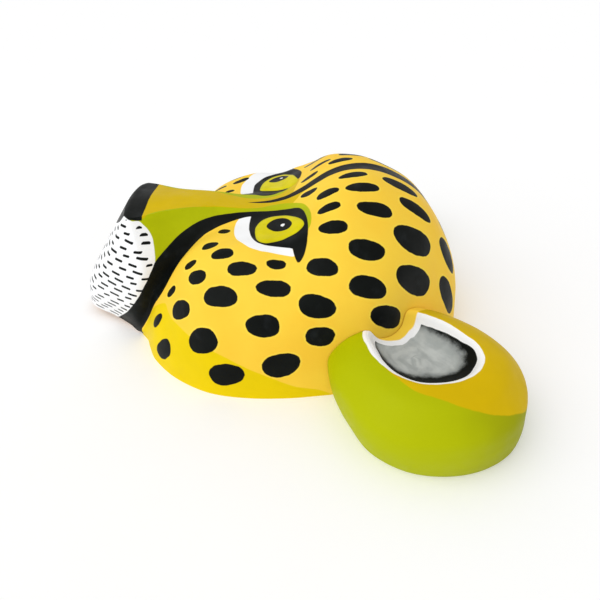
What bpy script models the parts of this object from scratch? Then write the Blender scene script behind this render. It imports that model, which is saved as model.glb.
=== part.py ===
"""Spotted cat mask, carved and painted wood, lying on its back.

A hollow head carries two cup ears on wooden pegs.  A folded steel strap inside
the crown holds a D-ring to hang the mask by, and the ring swings on the strap.
Frame: +Z out of the face, +Y to the crown, +X to the mask's own left side, with
the origin in the middle of the flat back.  Sizes below are in millimetres.
"""
import math

import bmesh
import bpy
import numpy as np
from mathutils import Matrix, Vector

MM = 0.001                      # the scene is in metres
GAP = 0.3                       # clearance left between two touching pieces
EAR_GAP = 0.5                   # between an ear and the curved side of the head

# The head is a skin over ribs that run from the middle line to the back rim.
# Each rib crosses eight lines: middle, ridge, wall, valley, cheek, roll, side, rim.
HEAD_RIBS = (
    ("chin_rim", ((0, -132.3, 6), (11, -126.5, 6), (21, -110.5, 5), (29.5, -98.5, 3.5),
                  (32, -95.5, 2.5), (34, -93, 1.5), (35, -90.5, 1), (36.5, -89, 0))),
    ("chin", ((0, -126, 28), (22, -119, 28), (36, -97, 22), (37, -90, 11),
              (38, -89, 9), (40, -87.5, 6), (40.5, -86, 3), (42.5, -84.5, 0))),
    ("lip", ((0, -111.5, 51), (28, -104.5, 50), (42, -87, 38), (38.5, -82, 22),
             (41, -81, 18), (45.5, -81, 13), (48.5, -81.5, 7), (50, -81.5, 0))),
    ("nose_front", ((0, -91, 80.5), (26, -88, 79.5), (42, -80, 52), (40, -75, 36),
                    (45, -74, 31), (54, -73.5, 23), (60, -74.5, 12), (62, -75.5, 0))),
    ("nose_top", ((0, -84, 81.5), (26.5, -81, 79.5), (39, -74, 58), (38, -68, 44),
                  (46, -67, 40), (60, -64, 30), (72, -63, 16), (77, -62, 0))),
    ("snout", ((0, -62, 81), (17, -62, 79.5), (29, -58, 66), (32.5, -55, 58),
               (44, -54, 58), (62, -51, 48), (81, -48, 25), (88, -46, 0))),
    ("snout_back", ((0, -40, 80), (12, -40, 79.5), (20, -40, 73), (26, -40, 68),
                    (42, -39, 69.3), (62, -37, 63.5), (85, -34, 36), (93.5, -32, 0))),
    ("bridge", ((0, -16, 77.5), (10.5, -16, 77), (16, -16, 75.5), (24, -16, 74),
                (41, -16, 74), (61, -16, 72.5), (86, -14, 46), (96.5, -13, 0))),
    ("eye", ((0, 4, 79), (10.5, 4, 78.5), (16, 4, 77.5), (24, 4, 76.8),
             (41, 4, 75.3), (61, 4, 73), (87, 6, 50), (97, 6, 0))),
    ("brow", ((0, 17, 85), (11, 17, 84.5), (17, 16.5, 83.5), (25, 16.5, 82.5),
              (42, 17, 81.5), (62, 18, 77), (87, 19, 53), (96, 21, 0))),
    ("forehead", ((0, 35, 96.5), (12, 35, 97), (22, 35, 96.5), (32, 35, 95),
                  (47, 35, 89.5), (66, 35, 78), (87, 36, 52), (94, 38, 0))),
    ("dome", ((0, 53, 99.5), (12, 53, 100), (23, 53, 98.5), (33, 53, 95),
              (47, 53, 88), (65, 52, 75), (85, 51, 50), (89, 53, 0))),
    ("dome_back", ((0, 72, 95), (12, 72, 94.5), (23, 71, 92.5), (33, 70, 89),
                   (46, 69, 82), (62, 67, 69), (79, 64, 45), (82, 66, 0))),
    ("crown", ((0, 91.5, 82.5), (13, 91.5, 82), (24, 90.5, 80), (34, 88, 76),
               (46, 85, 68), (58, 81, 57), (70, 76, 36), (74, 79, 0))),
    ("crown_back", ((0, 109, 59), (14, 108.5, 58.5), (25, 107, 57), (35, 103.5, 53),
                    (45, 98, 47), (55, 93, 38), (63, 88, 24), (66, 90, 0))),
    ("nape", ((0, 119, 33), (15, 118.5, 33), (27, 116.5, 31.5), (37, 112.5, 29),
              (46, 107, 25), (53, 102, 20), (59, 97, 12), (61, 96, 0))),
    ("crown_rim", ((0, 124, 0), (16, 123, 0), (28, 120.5, 0), (38, 117, 0),
                   (45, 111, 0), (51, 107, 0), (56, 102, 0), (59, 98, 0))),
)
RIDGE_LINE = 1                  # the edge between the snout's top and its sides
VALLEY_LINE = 3                 # where the snout meets the cheek
# How crisp an edge is where a rib crosses it: 0 is smooth, 1 is a hard fold.
RIDGE_CREASE = dict(lip=0.1, nose_front=0.6, nose_top=1, snout=1, snout_back=1,
                    bridge=0.9, eye=0.7, brow=0.2)
VALLEY_CREASE = dict(chin=0.8, lip=0.8, nose_front=0.8, nose_top=0.8, snout=0.8,
                     snout_back=0.6)
NOSE_EDGE = "nose_front"        # the rib that runs along the front edge of the nose
NOSE_EDGE_CREASE = (0.8, 0.8, 0.3)

# The hollow is a rounded bowl, held off the outer surface by a least thickness.
HOLLOW_WIDTH = 81               # from the middle line to each side, at the back
HOLLOW_CHIN = 77
HOLLOW_CROWN = 106
HOLLOW_DEPTH = 66
HOLLOW_ROUNDNESS = 2.3          # 2 is an ellipsoid, more is squarer
LEAST_WOOD = 12

# The left ear is a stack of rings; the right ear is its mirror image.  Each ring is
# (height, centre x, centre y, radius, share), from the back to the dish.  Its outline is
# the wall's where the share is 0, the dish's lip's where it is 1, and between them else.
EAR_RINGS = (
    (0, 101, 80.6, 48, 0), (3, 101.7, 80.1, 48.4, 0), (10, 102.7, 78.6, 49.1, 0),
    (18, 103.7, 77.1, 48.9, 0), (26, 103.2, 76.6, 48.3, 0.05), (33, 101.7, 76.6, 43.8, 0.2),
    (38, 102.6, 77.4, 38.3, 0.6), (40.5, 102, 77.2, 31.5, 1), (40.5, 101.5, 77, 29, 1),
    (39, 101, 77, 27, 1), (33, 100, 77, 23, 1), (28, 99, 77, 15, 1), (26.5, 99, 77, 6, 1),
)
# How far the two outlines reach, as shares of the radius, at equal turns from +X by +Y.
EAR_WALL = (1.03, 1.045, 1.075, 1.075, 1.075, 1.025, 0.98, 0.99,
            1.03, 1.06, 1.075, 1.06, 0.995, 0.96, 1.015, 1.035)
EAR_LIP = (0.955, 0.96, 0.99, 0.99, 0.925, 0.83, 0.835, 0.89,
           1.02, 1.04, 1.06, 1.08, 0.965, 0.945, 0.975, 0.985)
EAR_TURN_STEPS = 3              # sides between two of those turns

PEG_RADIUS = 4
PEG_REACH = 10                  # how far a peg goes into each of the two pieces
PEG_HEIGHT = 13
PEG_BEARING = math.radians(33)  # direction of the pegs, from +X towards +Y
PEG_SPOTS = ((88, 44), (70, 77))

# The hanger is laid out from the ring's pivot: up the strap, and out to the wall.
# It leans back with the wall inside the crown, where a flat seat is cut for it.
PIVOT = (0, 98, 24)
HANGER_LEAN = math.radians(36)
SEAT_WIDTH = 22
SEAT_LOW = -6
SEAT_HIGH = 27
SEAT_CUT = 12
STRAP_WIDTH = 9
STRAP_SHEET = 1.2
STRAP_TOP = 25
STRAP_LIP = 2.5
RING_WIRE = 1.2                 # radius
RING_INSIDE = 8                 # radius of the round end, to the middle of the wire
RING_STRAIGHT = 3               # length of each straight side
EYE_BORE = RING_WIRE + GAP      # inside radius of the strap's eye
STRAP_BACK = EYE_BORE + STRAP_SHEET
SEAT_DISTANCE = STRAP_BACK + GAP
SCREW_PLACES = (11, 20)
SCREW_RADIUS = 1.5
SCREW_LENGTH = 10
SCREW_HEAD_RADIUS = 3.2
SCREW_HEAD_HEIGHT = 1.6

ACROSS_STEPS = 2                # facets between two lines of the head
ALONG_STEPS = 2                 # facets between two ribs
PEG_SIDES = 20

parts = None
cutters = None


def start_scene():
    """Empty the scene and make one collection for pieces and one for cutters."""
    global parts, cutters
    for old in list(bpy.data.objects):
        bpy.data.objects.remove(old, do_unlink=True)
    parts = bpy.data.collections.new("spotted_cat_mask")
    cutters = bpy.data.collections.new("cutters")
    bpy.context.scene.collection.children.link(parts)
    bpy.context.scene.collection.children.link(cutters)


def material(name, colour, roughness, metallic=0.0):
    made = bpy.data.materials.new(name)
    made.use_nodes = True
    shader = made.node_tree.nodes["Principled BSDF"]
    shader.inputs["Base Color"].default_value = (*colour, 1)
    shader.inputs["Roughness"].default_value = roughness
    shader.inputs["Metallic"].default_value = metallic
    made.diffuse_color = (*colour, 1)
    return made


def add_object(name, mesh, collection, finish=None):
    made = bpy.data.objects.new(name, mesh)
    collection.objects.link(made)
    if finish:
        mesh.materials.append(finish)
    return made


def mesh_from_bmesh(name, shape, sharp_angle=40):
    """Turn a bmesh in millimetres into a smooth-shaded mesh in metres."""
    bmesh.ops.scale(shape, vec=(MM, MM, MM), verts=shape.verts)
    bmesh.ops.recalc_face_normals(shape, faces=shape.faces)
    mesh = bpy.data.meshes.new(name)
    shape.to_mesh(mesh)
    shape.free()
    mesh.shade_smooth()
    mesh.set_sharp_from_angle(angle=math.radians(sharp_angle))
    return mesh


def make_cutter(name, mesh):
    made = add_object(name, mesh, cutters)
    made.hide_render = True
    made.display_type = "WIRE"
    return made


def cut(piece, cutter):
    boolean = piece.modifiers.new("cut_" + cutter.name, "BOOLEAN")
    boolean.operation = "DIFFERENCE"
    boolean.solver = "EXACT"
    boolean.object = cutter


def curve_through(points, creases, steps):
    """A smooth curve through the points, folded by its crease where that isn't 0."""
    points = np.asarray(points, float)
    last = len(points) - 1
    slopes = np.gradient(points, axis=0)
    when = (np.arange(steps) / steps)[:, None]
    rise = 3 * when**2 - 2 * when**3
    leave = when**3 - 2 * when**2 + when
    arrive = when**3 - when**2
    spans = []
    for index in range(last):
        chord = points[index + 1] - points[index]
        out = slopes[index] + creases[index] * (chord - slopes[index])
        into = slopes[index + 1] + creases[index + 1] * (chord - slopes[index + 1])
        start = (1 - rise) * points[index] + rise * points[index + 1]
        spans.append(start + leave * out + arrive * into)
    spans.append(points[-1:])
    return np.vstack(spans)


def head_skin(across_steps, along_steps):
    """The left half of the head's outside as a grid of points, rib by rib."""
    lines = len(HEAD_RIBS[0][1])
    ribs = []
    for name, points in HEAD_RIBS:
        points = np.array(points, float)
        beyond = points[1:2] * (-1, 1, 1)       # keeps the middle line level
        creases = np.zeros(lines + 1)
        creases[1 + RIDGE_LINE] = RIDGE_CREASE.get(name, 0)
        creases[1 + VALLEY_LINE] = VALLEY_CREASE.get(name, 0)
        rib = curve_through(np.vstack((beyond, points)), creases, across_steps)
        ribs.append(rib[across_steps:])
    ribs = np.array(ribs)
    nose_edge = [name for name, _ in HEAD_RIBS].index(NOSE_EDGE)
    columns = []
    for column in range(ribs.shape[1]):
        creases = np.zeros(len(HEAD_RIBS))
        creases[nose_edge] = np.interp(column / across_steps, range(len(NOSE_EDGE_CREASE) + 1),
                                       (*NOSE_EDGE_CREASE, 0))
        columns.append(curve_through(ribs[:, column], creases, along_steps))
    skin = np.array(columns).transpose(1, 0, 2)
    skin[:, 0, 0] = 0
    return skin


def mirrored(half):
    """Both halves of the head from the left one."""
    return np.concatenate((half[:, :0:-1] * (-1, 1, 1), half), axis=1)


def pulled_in(skin):
    """The hollow's surface: the bowl, or the skin less the wood, whichever is nearer."""
    reach = np.linalg.norm(skin, axis=2, keepdims=True)
    ray = skin / reach
    ahead = np.where(ray[..., 1] < 0, HOLLOW_CHIN, HOLLOW_CROWN)
    power = HOLLOW_ROUNDNESS
    spread = ((np.abs(ray[..., 0]) / HOLLOW_WIDTH) ** power
              + (np.abs(ray[..., 1]) / ahead) ** power
              + (np.abs(ray[..., 2]) / HOLLOW_DEPTH) ** power)
    bowl = spread[..., None] ** (-1 / power)
    inside = reach - LEAST_WOOD
    softness = 20
    return ray * (bowl**-softness + inside**-softness) ** (-1 / softness)


def grid_faces(shape, rows):
    """Quads between rows of bmesh vertices."""
    for row, following in zip(rows[:-1], rows[1:]):
        for index in range(len(row) - 1):
            shape.faces.new((row[index], row[index + 1], following[index + 1], following[index]))


def edge_loop(rows):
    """The vertices round the edge of a grid, in order."""
    right = [row[-1] for row in rows[1:-1]]
    left = [row[0] for row in rows[1:-1]]
    return list(rows[0]) + right + list(reversed(rows[-1])) + list(reversed(left))


def head_mesh(across_steps, along_steps):
    outside = mirrored(head_skin(across_steps, along_steps))
    inside = pulled_in(outside)
    shape = bmesh.new()
    outer = [[shape.verts.new(point) for point in row] for row in outside]
    inner = [[shape.verts.new(point) for point in row] for row in inside]
    grid_faces(shape, outer)
    grid_faces(shape, [list(reversed(row)) for row in inner])
    outer_edge = edge_loop(outer)
    inner_edge = edge_loop(inner)
    count = len(outer_edge)
    for index in range(count):
        after = (index + 1) % count
        shape.faces.new((outer_edge[after], outer_edge[index], inner_edge[index], inner_edge[after]))
    return mesh_from_bmesh("face_shell", shape)


def head_envelope(across_steps, along_steps):
    """The head without its hollow, a gap larger, run on through the back plane."""
    half = head_skin(across_steps, along_steps)
    outside = mirrored(half)
    along = np.gradient(outside, axis=0)
    across = np.gradient(outside, axis=1)
    outward = np.cross(across, along)
    outward /= np.linalg.norm(outward, axis=2, keepdims=True) + 1e-9
    outside = outside + EAR_GAP * outward
    shape = bmesh.new()
    rows = [[shape.verts.new(point) for point in row] for row in outside]
    grid_faces(shape, rows)
    edge = edge_loop(rows)
    below = [shape.verts.new((vert.co.x, vert.co.y, -5)) for vert in edge]
    count = len(edge)
    for index in range(count):
        after = (index + 1) % count
        shape.faces.new((edge[after], edge[index], below[index], below[after]))
    shape.faces.new(below)
    return mesh_from_bmesh("head_envelope", shape)


def ear_outline(reaches):
    """A smooth closed curve, in shares of the radius, through points at equal turns."""
    turns = np.arange(len(reaches)) * 2 * math.pi / len(reaches)
    corners = np.stack((np.cos(turns), np.sin(turns)), axis=1) * np.array(reaches)[:, None]
    wrapped = np.vstack((corners[-2:], corners, corners[:3]))
    curve = curve_through(wrapped, np.zeros(len(wrapped)), EAR_TURN_STEPS)
    return curve[2 * EAR_TURN_STEPS:-2 * EAR_TURN_STEPS - 1]


def ear_ring(shape, height, centre_x, centre_y, radius, share, side):
    outline = (1 - share) * ear_outline(EAR_WALL) + share * ear_outline(EAR_LIP)
    places = (centre_x, centre_y) + radius * outline
    return [shape.verts.new((side * x, y, height)) for x, y in places]


def ear_mesh(name, side):
    shape = bmesh.new()
    rings = [ear_ring(shape, *ring, side) for ring in EAR_RINGS]
    grid_faces(shape, [ring + ring[:1] for ring in rings])
    shape.faces.new(rings[0])
    shape.faces.new(rings[-1])
    return mesh_from_bmesh(name, shape)


def rod_mesh(name, radius, length, sides, ease=0.0):
    """A round rod along +Z from the origin, centred on its length."""
    shape = bmesh.new()
    bmesh.ops.create_cone(shape, cap_ends=True, segments=sides, radius1=radius,
                          radius2=radius, depth=length)
    if ease:
        ends = [edge for edge in shape.edges if abs(edge.verts[0].co.z - edge.verts[1].co.z) < 1e-6]
        bmesh.ops.bevel(shape, geom=ends, offset=ease, segments=1, affect="EDGES")
    return mesh_from_bmesh(name, shape)


def aim(thing, place, direction):
    """Put an object at a place in millimetres with its Z axis along a direction."""
    turn = Vector(direction).to_track_quat("Z", "Y").to_matrix().to_4x4()
    thing.matrix_world = Matrix.Translation(Vector(place) * MM) @ turn


def hanger_frame():
    """The leaning frame at the ring's pivot: +Z up the strap, +Y to the wall."""
    return Matrix.Translation(Vector(PIVOT) * MM) @ Matrix.Rotation(HANGER_LEAN, 4, "X")


def build_head():
    paint = material("head_paint", (0.95, 0.60, 0.06), 0.5)
    head = add_object("face_shell", head_mesh(ACROSS_STEPS, ALONG_STEPS), parts, paint)
    seat = bmesh.new()
    bmesh.ops.create_cube(seat, size=1)
    bmesh.ops.scale(seat, vec=(SEAT_WIDTH, SEAT_CUT, SEAT_HIGH - SEAT_LOW), verts=seat.verts)
    middle = (0, SEAT_DISTANCE - SEAT_CUT / 2, (SEAT_HIGH + SEAT_LOW) / 2)
    bmesh.ops.translate(seat, vec=middle, verts=seat.verts)
    cutter = make_cutter("seat_cutter", mesh_from_bmesh("seat_cutter", seat))
    cutter.matrix_world = hanger_frame()
    cut(head, cutter)
    return head


def build_ears(head):
    paint = material("ear_paint", (0.42, 0.45, 0.01), 0.5)
    envelope = make_cutter("head_envelope", head_envelope(ACROSS_STEPS, ALONG_STEPS))
    ears = {}
    for name, side in (("ear_left", 1), ("ear_right", -1)):
        ears[side] = add_object(name, ear_mesh(name, side), parts, paint)
        cut(ears[side], envelope)
    wood = material("peg_wood", (0.52, 0.34, 0.18), 0.7)
    peg = rod_mesh("ear_peg", PEG_RADIUS, 2 * PEG_REACH, PEG_SIDES, ease=0.6)
    bore = rod_mesh("peg_bore", PEG_RADIUS + GAP, 2 * (PEG_REACH + GAP), PEG_SIDES)
    peg.materials.append(wood)
    for side, hand in ((1, "left"), (-1, "right")):
        direction = (side * math.cos(PEG_BEARING), math.sin(PEG_BEARING), 0)
        for level, (x, y) in zip(("lower", "upper"), PEG_SPOTS):
            place = (side * x, y, PEG_HEIGHT)
            aim(add_object(f"ear_peg_{hand}_{level}", peg, parts), place, direction)
            hole = make_cutter(f"peg_bore_{hand}_{level}", bore)
            aim(hole, place, direction)
            cut(head, hole)
            cut(ears[side], hole)


def strap_outline():
    """Side view of the strap as (y, z): a long leg on the seat, an eye and a short lip."""
    turns = 14
    bend = []
    for step in range(turns + 1):
        turn = -math.pi * step / turns
        bend.append((math.cos(turn), math.sin(turn)))
    outside = [(STRAP_BACK, STRAP_TOP)]
    outside += [(STRAP_BACK * across, STRAP_BACK * up) for across, up in bend]
    outside.append((-STRAP_BACK, STRAP_LIP))
    inside = [(-EYE_BORE, STRAP_LIP)]
    inside += [(EYE_BORE * across, EYE_BORE * up) for across, up in reversed(bend)]
    inside.append((EYE_BORE, STRAP_TOP))
    return outside + inside


def build_strap():
    steel = material("hanger_steel", (0.62, 0.60, 0.56), 0.35, 1.0)
    shape = bmesh.new()
    flat = [shape.verts.new((-STRAP_WIDTH / 2, y, z)) for y, z in strap_outline()]
    face = shape.faces.new(flat)
    grown = bmesh.ops.extrude_face_region(shape, geom=[face])
    moved = [item for item in grown["geom"] if isinstance(item, bmesh.types.BMVert)]
    bmesh.ops.translate(shape, vec=(STRAP_WIDTH, 0, 0), verts=moved)
    strap = add_object("hanger_strap", mesh_from_bmesh("hanger_strap", shape), parts, steel)
    strap.matrix_world = hanger_frame()
    return strap, steel


def ring_path():
    """The D-ring's middle line as (x, z) from its pivot: a bar, two sides and a round end."""
    path = [(-RING_INSIDE, 0), (RING_INSIDE, 0)]
    turns = 12
    for step in range(turns + 1):
        turn = -math.pi * step / turns
        path.append((RING_INSIDE * math.cos(turn), -RING_STRAIGHT + RING_INSIDE * math.sin(turn)))
    return path


def build_ring(steel):
    curve = bpy.data.curves.new("hanger_ring_path", "CURVE")
    curve.dimensions = "3D"
    curve.bevel_depth = RING_WIRE * MM
    curve.bevel_resolution = 2
    spline = curve.splines.new("POLY")
    path = ring_path()
    spline.points.add(len(path) - 1)
    for point, (x, z) in zip(spline.points, path):
        point.co = (x * MM, 0, z * MM, 1)
    spline.use_cyclic_u = True
    ring = bpy.data.objects.new("hanger_ring", curve)
    ring.location = Vector(PIVOT) * MM
    parts.objects.link(ring)
    curve.materials.append(steel)
    return ring


def screw_mesh():
    """A pan-head screw along +Z, its seat at the origin and its shank below."""
    shape = bmesh.new()
    outline = [(0, SCREW_HEAD_HEIGHT), (SCREW_HEAD_RADIUS * 0.55, SCREW_HEAD_HEIGHT),
               (SCREW_HEAD_RADIUS * 0.9, SCREW_HEAD_HEIGHT * 0.7), (SCREW_HEAD_RADIUS, 0),
               (SCREW_RADIUS, 0), (SCREW_RADIUS, -SCREW_LENGTH * 0.75), (0, -SCREW_LENGTH)]
    verts = [shape.verts.new((radius, 0, height)) for radius, height in outline]
    edges = [shape.edges.new(pair) for pair in zip(verts[:-1], verts[1:])]
    bmesh.ops.spin(shape, geom=verts + edges, cent=(0, 0, 0), axis=(0, 0, 1),
                   angle=2 * math.pi, steps=20, use_merge=True)
    bmesh.ops.remove_doubles(shape, verts=shape.verts, dist=1e-4)
    return mesh_from_bmesh("hanger_screw", shape)


def slot_mesh():
    """The cutter for the straight slot in a screw's head."""
    shape = bmesh.new()
    bmesh.ops.create_cube(shape, size=1)
    bmesh.ops.scale(shape, vec=(2.5 * SCREW_HEAD_RADIUS, 0.9, 1.6), verts=shape.verts)
    bmesh.ops.translate(shape, vec=(0, 0, SCREW_HEAD_HEIGHT), verts=shape.verts)
    return mesh_from_bmesh("screw_slot", shape)


def build_screws(head, strap, steel):
    screw = screw_mesh()
    screw.materials.append(steel)
    slot = slot_mesh()
    bore = rod_mesh("screw_bore", SCREW_RADIUS + GAP, 2 * (SCREW_LENGTH + GAP), 20)
    for name, place in zip(("lower", "upper"), SCREW_PLACES):
        seat = Matrix.Translation(Vector((0, EYE_BORE - GAP, place)) * MM)
        stance = hanger_frame() @ seat @ Matrix.Rotation(math.pi / 2, 4, "X")
        made = add_object(f"hanger_screw_{name}", screw.copy(), parts)
        made.matrix_world = stance
        groove = make_cutter(f"screw_slot_{name}", slot)
        groove.matrix_world = stance
        cut(made, groove)
        hole = make_cutter(f"screw_bore_{name}", bore)
        hole.matrix_world = stance
        cut(head, hole)
        cut(strap, hole)


def main():
    start_scene()
    head = build_head()
    build_ears(head)
    strap, steel = build_strap()
    build_ring(steel)
    build_screws(head, strap, steel)


main()
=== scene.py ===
"""A carved and painted spotted cat mask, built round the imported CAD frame.

The head and the ears are rebuilt as fine meshes from the ribs and rings that the CAD
is made of, and the paint is laid out on them: each painted shape is stored on the
mesh as a distance in millimetres to its edge, below zero inside it, and the materials
turn those distances into hand-painted edges.  Lengths are in millimetres until a mesh
is made, and in metres from then on.

A place on the head is a pair (rib, line).  Ribs count from 0 at the chin's rim to 16 at
the crown's rim, and lines from 0 on the middle line to 7 on the back rim, so (8, 3.5) is
on the eye.  The shape is laid out for the left half and mirrored, and so is the paint,
apart from the right eye, the spots by the stripe and the eyes, and small changes in the
other spots.
"""

import math

import bmesh
import bpy
import numpy as np
from mathutils import Matrix, Vector
from mathutils.bvhtree import BVHTree


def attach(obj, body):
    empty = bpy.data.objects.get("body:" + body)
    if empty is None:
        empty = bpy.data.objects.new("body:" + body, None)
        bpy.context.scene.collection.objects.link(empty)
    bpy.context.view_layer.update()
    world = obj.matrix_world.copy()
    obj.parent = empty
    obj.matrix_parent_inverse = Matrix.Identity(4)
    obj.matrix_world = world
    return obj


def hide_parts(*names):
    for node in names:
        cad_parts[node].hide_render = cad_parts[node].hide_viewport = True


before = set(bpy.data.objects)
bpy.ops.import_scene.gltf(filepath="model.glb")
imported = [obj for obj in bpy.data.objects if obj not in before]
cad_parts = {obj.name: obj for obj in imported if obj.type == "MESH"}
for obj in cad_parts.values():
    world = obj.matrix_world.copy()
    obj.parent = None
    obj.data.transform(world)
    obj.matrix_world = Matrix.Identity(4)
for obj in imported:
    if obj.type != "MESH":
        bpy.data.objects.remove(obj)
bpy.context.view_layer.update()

MM = 0.001

# ---- shape, as in the CAD

HEAD_RIBS = (
    ("chin_rim", ((0, -132.3, 6), (11, -126.5, 6), (21, -110.5, 5), (29.5, -98.5, 3.5),
                  (32, -95.5, 2.5), (34, -93, 1.5), (35, -90.5, 1), (36.5, -89, 0))),
    ("chin", ((0, -126, 28), (22, -119, 28), (36, -97, 22), (37, -90, 11),
              (38, -89, 9), (40, -87.5, 6), (40.5, -86, 3), (42.5, -84.5, 0))),
    ("lip", ((0, -111.5, 51), (28, -104.5, 50), (42, -87, 38), (38.5, -82, 22),
             (41, -81, 18), (45.5, -81, 13), (48.5, -81.5, 7), (50, -81.5, 0))),
    ("nose_front", ((0, -91, 80.5), (26, -88, 79.5), (42, -80, 52), (40, -75, 36),
                    (45, -74, 31), (54, -73.5, 23), (60, -74.5, 12), (62, -75.5, 0))),
    ("nose_top", ((0, -84, 81.5), (26.5, -81, 79.5), (39, -74, 58), (38, -68, 44),
                  (46, -67, 40), (60, -64, 30), (72, -63, 16), (77, -62, 0))),
    ("snout", ((0, -62, 81), (17, -62, 79.5), (29, -58, 66), (32.5, -55, 58),
               (44, -54, 58), (62, -51, 48), (81, -48, 25), (88, -46, 0))),
    ("snout_back", ((0, -40, 80), (12, -40, 79.5), (20, -40, 73), (26, -40, 68),
                    (42, -39, 69.3), (62, -37, 63.5), (85, -34, 36), (93.5, -32, 0))),
    ("bridge", ((0, -16, 77.5), (10.5, -16, 77), (16, -16, 75.5), (24, -16, 74),
                (41, -16, 74), (61, -16, 72.5), (86, -14, 46), (96.5, -13, 0))),
    ("eye", ((0, 4, 79), (10.5, 4, 78.5), (16, 4, 77.5), (24, 4, 76.8),
             (41, 4, 75.3), (61, 4, 73), (87, 6, 50), (97, 6, 0))),
    ("brow", ((0, 17, 85), (11, 17, 84.5), (17, 16.5, 83.5), (25, 16.5, 82.5),
              (42, 17, 81.5), (62, 18, 77), (87, 19, 53), (96, 21, 0))),
    ("forehead", ((0, 35, 96.5), (12, 35, 97), (22, 35, 96.5), (32, 35, 95),
                  (47, 35, 89.5), (66, 35, 78), (87, 36, 52), (94, 38, 0))),
    ("dome", ((0, 53, 99.5), (12, 53, 100), (23, 53, 98.5), (33, 53, 95),
              (47, 53, 88), (65, 52, 75), (85, 51, 50), (89, 53, 0))),
    ("dome_back", ((0, 72, 95), (12, 72, 94.5), (23, 71, 92.5), (33, 70, 89),
                   (46, 69, 82), (62, 67, 69), (79, 64, 45), (82, 66, 0))),
    ("crown", ((0, 91.5, 82.5), (13, 91.5, 82), (24, 90.5, 80), (34, 88, 76),
               (46, 85, 68), (58, 81, 57), (70, 76, 36), (74, 79, 0))),
    ("crown_back", ((0, 109, 59), (14, 108.5, 58.5), (25, 107, 57), (35, 103.5, 53),
                    (45, 98, 47), (55, 93, 38), (63, 88, 24), (66, 90, 0))),
    ("nape", ((0, 119, 33), (15, 118.5, 33), (27, 116.5, 31.5), (37, 112.5, 29),
              (46, 107, 25), (53, 102, 20), (59, 97, 12), (61, 96, 0))),
    ("crown_rim", ((0, 124, 0), (16, 123, 0), (28, 120.5, 0), (38, 117, 0),
                   (45, 111, 0), (51, 107, 0), (56, 102, 0), (59, 98, 0))),
)
RIDGE_LINE = 1
VALLEY_LINE = 3
LAST_LINE = 7
RIDGE_CREASE = dict(lip=0.1, nose_front=0.6, nose_top=1, snout=1, snout_back=1,
                    bridge=0.9, eye=0.7, brow=0.2)
VALLEY_CREASE = dict(chin=0.8, lip=0.8, nose_front=0.8, nose_top=0.8, snout=0.8,
                     snout_back=0.6)
NOSE_EDGE = 3
NOSE_EDGE_CREASE = (0.8, 0.8, 0.3)

HOLLOW_WIDTH = 81
HOLLOW_CHIN = 77
HOLLOW_CROWN = 106
HOLLOW_DEPTH = 66
HOLLOW_ROUNDNESS = 2.3
HOLLOW_SOFTNESS = 20
LEAST_WOOD = 12

EAR_RINGS = (
    (0, 101, 80.6, 48, 0), (3, 101.7, 80.1, 48.4, 0), (10, 102.7, 78.6, 49.1, 0),
    (18, 103.7, 77.1, 48.9, 0), (26, 103.2, 76.6, 48.3, 0.05), (33, 101.7, 76.6, 43.8, 0.2),
    (38, 102.6, 77.4, 38.3, 0.6), (40.5, 102, 77.2, 31.5, 1), (40.5, 101.5, 77, 29, 1),
    (39, 101, 77, 27, 1), (33, 100, 77, 23, 1), (28, 99, 77, 15, 1), (26.5, 99, 77, 6, 1),
)
# How far the two outlines reach, as shares of the radius, at equal turns from +X by +Y.
EAR_WALL = (1.03, 1.045, 1.075, 1.075, 1.075, 1.025, 0.98, 0.99,
            1.03, 1.06, 1.075, 1.06, 0.995, 0.96, 1.015, 1.035)
EAR_LIP = (0.955, 0.96, 0.99, 0.99, 0.925, 0.83, 0.835, 0.89,
           1.02, 1.04, 1.06, 1.08, 0.965, 0.945, 0.975, 0.985)
EAR_GAP = 0.5

PIVOT = (0, 98, 24)
HANGER_LEAN = math.radians(36)
SEAT_WIDTH = 22
SEAT_LOW = -6
SEAT_HIGH = 27
SEAT_CUT = 12
SEAT_DISTANCE = 3
SCREW_PLACES = (11, 20)
SCREW_BORE = 1.8
SCREW_REACH = 11.5
PEG_BORE = 4.3
PEG_REACH = 10.3
PEG_HEIGHT = 13
PEG_BEARING = math.radians(33)
PEG_SPOTS = ((88, 44), (70, 77))

ACROSS_STEPS = 18               # cells between two lines of the fine head
ALONG_STEPS = 16                # cells between two ribs
COARSE_STEPS = 5                # the same for the head that the ears are cut to
FAR = 25.0                      # a distance in millimetres that counts as well outside
ZONE_REACH = 1.2                # how many ribs or lines past an outline are measured to it


def curve_through(points, creases, steps):
    """A smooth curve through the points, folded by its crease where that isn't 0."""
    points = np.asarray(points, float)
    last = len(points) - 1
    slopes = np.gradient(points, axis=0)
    when = (np.arange(steps) / steps)[:, None]
    rise = 3 * when**2 - 2 * when**3
    leave = when**3 - 2 * when**2 + when
    arrive = when**3 - when**2
    spans = []
    for index in range(last):
        chord = points[index + 1] - points[index]
        out = slopes[index] + creases[index] * (chord - slopes[index])
        into = slopes[index + 1] + creases[index + 1] * (chord - slopes[index + 1])
        start = (1 - rise) * points[index] + rise * points[index + 1]
        spans.append(start + leave * out + arrive * into)
    spans.append(points[-1:])
    return np.vstack(spans)


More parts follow.
